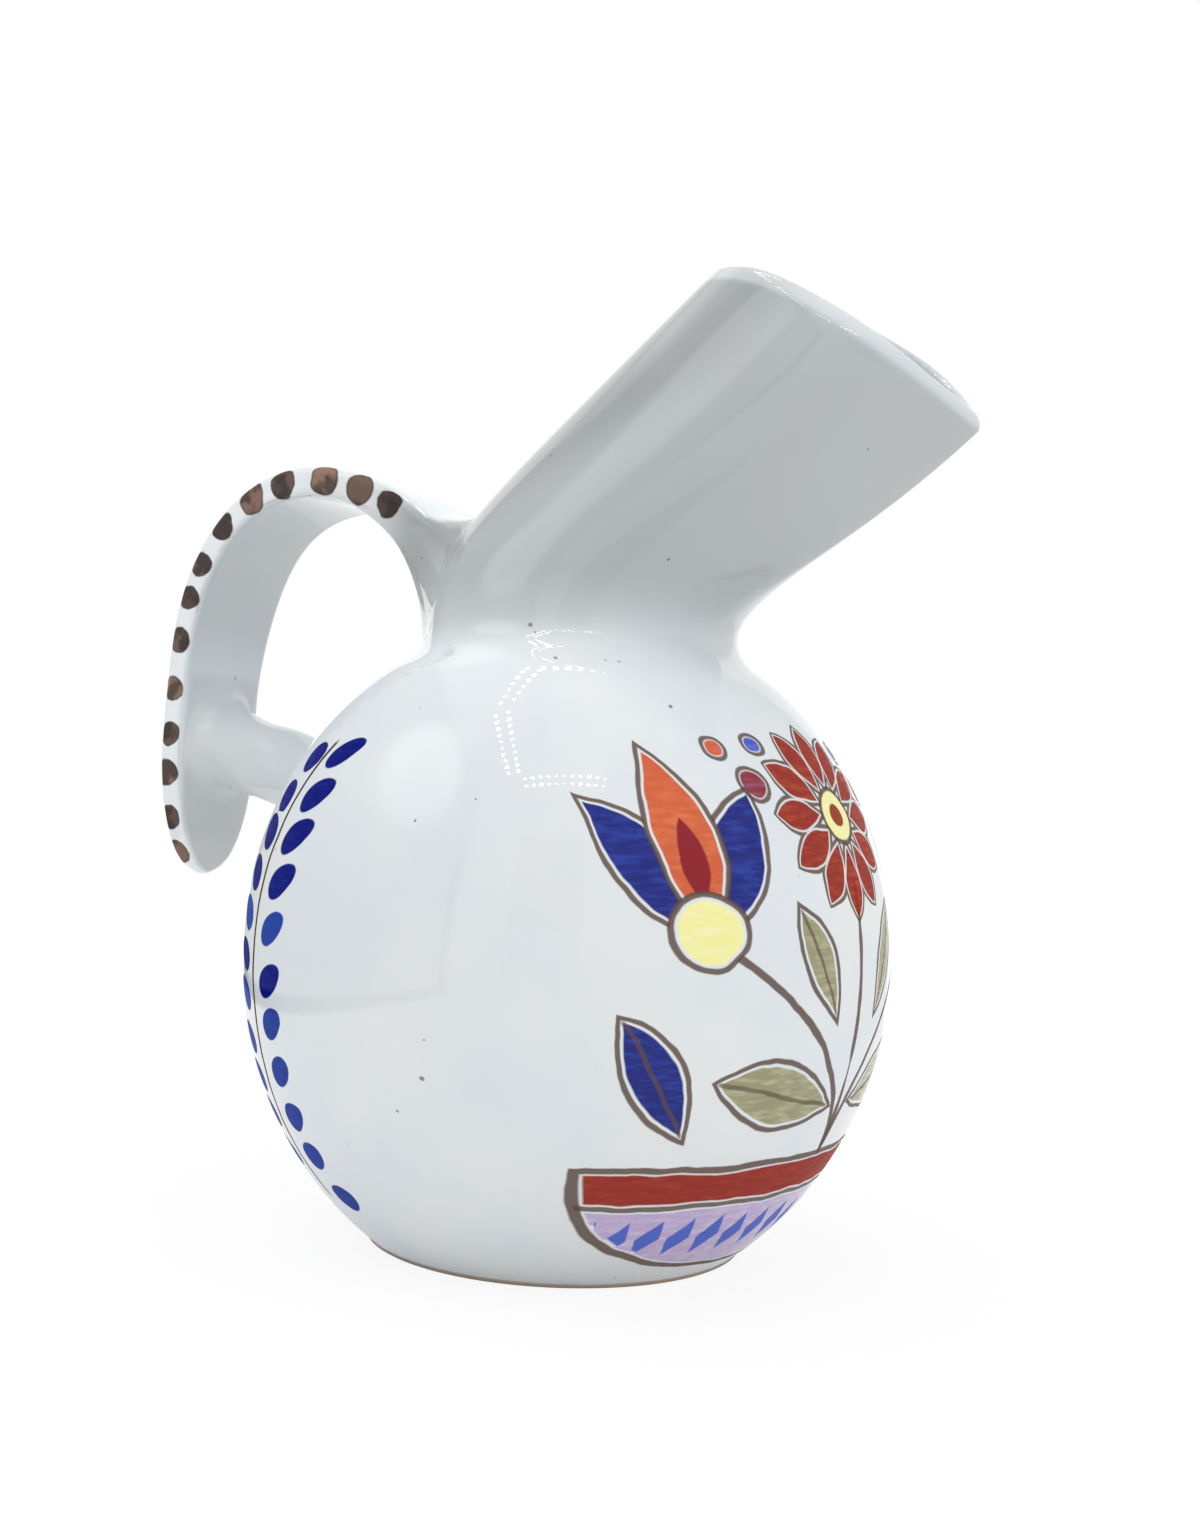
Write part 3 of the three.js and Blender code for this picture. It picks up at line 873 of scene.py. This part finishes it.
def worked_clay(limb, sides, middle, host, begin, spread, reach, fullness=0.56):
    """A ring of clay from a host's skin to a limb's skin. The limb's distance falls towards the
    host. Spread is how far the clay goes over the host, and reach how far up the limb."""
    contacts = smoothed([contact_with(host, limb, side, begin) for side in range(sides)], 6)
    ways = []
    for side in range(sides):
        contact = limb(contacts[side], side)
        around = limb(contacts[side], (side + 1) % sides) - limb(contacts[side], side - 1)
        onward = (limb(contacts[side] + reach(side), side) - contact).normalized()
        away = around.cross(onward).normalized()
        if away.dot(contact - middle(contacts[side])) < 0:
            away = -away
        ways.append(away)
    for _ in range(10):
        ways = [(ways[at - 1] + ways[at] * 2 + ways[(at + 1) % sides]).normalized() for at in range(sides)]
    rings = []
    for side in range(sides):
        contact = limb(contacts[side], side)
        foot, normal = along_skin(host, contact, ways[side], spread(side))
        skin = limb(contacts[side] + reach(side), side)
        onward = (limb(contacts[side] + reach(side) + short_way, side) - skin).normalized()
        low = foot - normal * under_skin
        high = skin - ways[side] * under_skin
        across = high - low
        flat = (across - normal * across.dot(normal)).normalized()
        low_pull = (contact - foot).length * fullness
        high_pull = (skin - contact).length * fullness
        line = (low, low + flat * low_pull, high - onward * high_pull, high)
        shares = [(1 - math.cos(math.pi * step / ring_steps)) / 2 for step in range(ring_steps + 1)]
        buried = [
            skin - ways[side] * ring_depth,
            limb(contacts[side] - ring_overlap, side) - ways[side] * ring_depth,
            foot - normal * ring_depth,
        ]
        rings.append([on_line(line, share) for share in shares] + buried)
    return rolled(len(rings[0]), sides, lambda row, side: rings[side][row])


def underside(side):
    """0 on the strap's upper face and 1 on its underside"""
    return (1 - section[side][1]) / 2


def flank(side):
    """1 in the middle of the strap's edges and 0 on its faces"""
    return 1 - abs(section[side][1])


def peg_from_strap(distance, side):
    return peg_skin(peg_length - distance, side)


body_host = clay_host(globe, spout)
strap_host = clay_host(strap)

strap_root_clay = worked_clay(
    strap_skin, len(section), strap_place, body_host, 0.075,
    lambda side: blended(0.013, 0.02, underside(side)) + 0.009 * flank(side),
    lambda side: blended(0.018, 0.031, underside(side)),
    0.52,
)
finish_piece("strap_root_clay", strap_root_clay, glaze, "strap_root_fillet")

globe_end_clay = worked_clay(
    peg_skin, peg_sides, lambda distance: peg_start + peg_way * distance, body_host, 0.035,
    lambda side: 0.008,
    lambda side: 0.0105,
)
finish_piece("peg_clay_at_globe", globe_end_clay, glaze, "peg_body_fillet")

strap_end_clay = worked_clay(
    peg_from_strap, peg_sides, lambda distance: peg_end - peg_way * distance, strap_host, 0.03,
    lambda side: blended(0.0036, 0.0085, math.sin(math.tau * side / peg_sides) ** 2),
    lambda side: 0.0105,
)
finish_piece("peg_clay_at_strap", strap_end_clay, glaze, "peg_strap_fillet")

# Table and light
# A plain white table in an even light tent. Two soft lamps and a white world light the pitcher.
# The tent's grey walls and its square of small lights show only in the glaze.
tent_turn = Matrix.Rotation(camera_turn, 4, "Z")
tent_low = Vector((-0.3, -0.4, 0))
tent_high = Vector((0.3, 0.42, 0.56))
tent_middle = (tent_low + tent_high) / 2
tent_size = tent_high - tent_low
bead_height = 0.54
bead_pitch = 0.0225
bead_radius = 0.005
white = (1, 1, 1, 1)
paper_white = (0.94, 0.94, 0.94, 1)


def seen_in_glaze_only(piece):
    piece.visible_camera = False
    piece.visible_diffuse = False
    piece.visible_shadow = False
    piece.visible_transmission = False


def glowing(name, brightness):
    """A material that shines evenly, or by a pattern of its place"""
    material, place = start_material(name)
    strength = brightness(place) if callable(brightness) else brightness
    shader = place.node("ShaderNodeEmission", {"Color": white, "Strength": strength})
    place.node("ShaderNodeOutputMaterial", {"Surface": shader})
    return material


def seen_directly(path, glossy_share):
    """1 for what the camera sees, by itself or through glass, and a share of it in reflections"""
    rays = path.socket.node.outputs
    return path.most(Wire(rays["Is Glossy Ray"]) * glossy_share).most(Wire(rays["Is Transmission Ray"]))


def white_table():
    """Paper with a glow of its own, which washes out its shadows farther off"""
    sheet = bmesh.new()
    bmesh.ops.create_grid(sheet, x_segments=1, y_segments=1, size=3)
    material, place = start_material("white table")
    seen = seen_directly(place.node("ShaderNodeLightPath", {}), 0.5)
    away = ((place.part(0) ** 2 + place.part(1) ** 2) ** 0.5).fade(0.16, 0.5)
    paper = place.node("ShaderNodeBsdfDiffuse", {"Color": paper_white})
    glow = place.node("ShaderNodeEmission", {"Color": white, "Strength": 1.0})
    shader = place.node("ShaderNodeMixShader", {0: seen * (away * 0.12 + 0.88), 1: paper, 2: glow})
    place.node("ShaderNodeOutputMaterial", {"Surface": shader})
    set_down("table", sheet, material)


def cloth_brightness(place):
    """Grey cloth with seams and a hem on the left wall, a darker door in front, a paler back wall
    and two pools of light, one on the left wall and one under the roof"""
    straight = place.node("ShaderNodeMapping", {"Vector": place, "Rotation": (0, 0, -camera_turn)})
    x, y, z = straight.part(0), straight.part(1), straight.part(2)
    left = x.fade(-0.27, -0.28)
    seam = (tent_size.y / 2 - abs(y - tent_middle.y)).fade(0.014, 0.007) * z.fade(0.45, 0.25) * left
    hem = abs(z - 0.012).fade(0.012, 0.006) * left
    door = abs(x + 0.047).fade(0.086, 0.08) * abs(z - 0.26).fade(0.112, 0.106) * y.fade(-0.36, -0.39)
    wall_pool = distance_from(straight, (-0.3, -0.13, 0.41)).fade(0.17, 0.1)
    roof_pool = distance_from(straight, (-0.17, 0.28, 0.54)).fade(0.14, 0.05)
    glow = wall_pool * 1.3 + roof_pool * 0.45 + y.fade(0.41, 0.418) * 0.3
    shade = x.fade(-0.288, -0.298) * 0.3 + seam.most(hem) * 0.6 + door * 0.5
    return 0.92 - z * 0.2 + glow - shade


def tent_walls():
    cloth = bmesh.new()
    bmesh.ops.create_cube(cloth, size=1)
    for corner in cloth.verts:
        corner.co = tent_turn @ (corner.co * tent_size + tent_middle)
    floor = [face for face in cloth.faces if face.calc_center_median().z < 0.01]
    bmesh.ops.delete(cloth, geom=floor, context="FACES")
    walls = set_down("tent_walls", cloth, glowing("tent cloth", cloth_brightness))
    seen_in_glaze_only(walls)


def tent_lights():
    """Two rows of small lights round an open square under the tent's roof, its far corners cut off"""
    beads = bmesh.new()
    rows = (
        ((-0.07, 0.066), (0.04, 0.06)), ((-0.07, 0.042), (0.04, 0.036)),
        ((-0.1, 0.058), (-0.165, -0.06)), ((-0.078, 0.034), (-0.135, -0.06)),
        ((-0.183, -0.1), (-0.188, -0.31)), ((-0.153, -0.1), (-0.158, -0.31)),
        ((-0.143, -0.343), (0.085, -0.338)), ((-0.143, -0.373), (0.085, -0.368)),
    )
    for start, end in rows:
        run = Vector(end) - Vector(start)
        count = round(run.length / bead_pitch)
        for number in range(count + 1):
            spot = Vector(start) + run * number / count
            at = Matrix.Translation(tent_turn @ Vector((*spot, bead_height)))
            size = bead_radius * (1 + 0.25 * math.sin(7.3 * number))
            bmesh.ops.create_circle(beads, cap_ends=True, segments=12, radius=size, matrix=at)
    lights = set_down("tent_lights", beads, glowing("small lights", 26.0))
    seen_in_glaze_only(lights)


def soft_lamp(name, place, size, power):
    """A square lamp that lights the pitcher but isn't reflected in it"""
    light = bpy.data.lights.new(name, "AREA")
    light.size = size
    light.energy = power
    lamp = bpy.data.objects.new(name, light)
    lamp.location = place
    lamp.rotation_euler = (Vector((0, 0, 0.1)) - Vector(place)).to_track_quat("-Z", "Y").to_euler()
    lamp.visible_glossy = False
    bpy.context.collection.objects.link(lamp)


white_table()
tent_walls()
tent_lights()
soft_lamp("tent top", (-0.02, -0.1, 0.75), 0.7, 1.9)
soft_lamp("tent side", (0.62, 0.05, 0.3), 0.4, 0.36)

world = bpy.data.worlds.new("tent")
world.use_nodes = True
world.node_tree.nodes.clear()
path = Wire(world.node_tree.nodes.new("ShaderNodeLightPath").outputs["Is Camera Ray"])
strength = seen_directly(path, 1.0) * 0.09 + 0.91
sky = path.node("ShaderNodeBackground", {"Color": white, "Strength": strength})
sky.node("ShaderNodeOutputWorld", {"Surface": sky})
bpy.context.scene.world = world
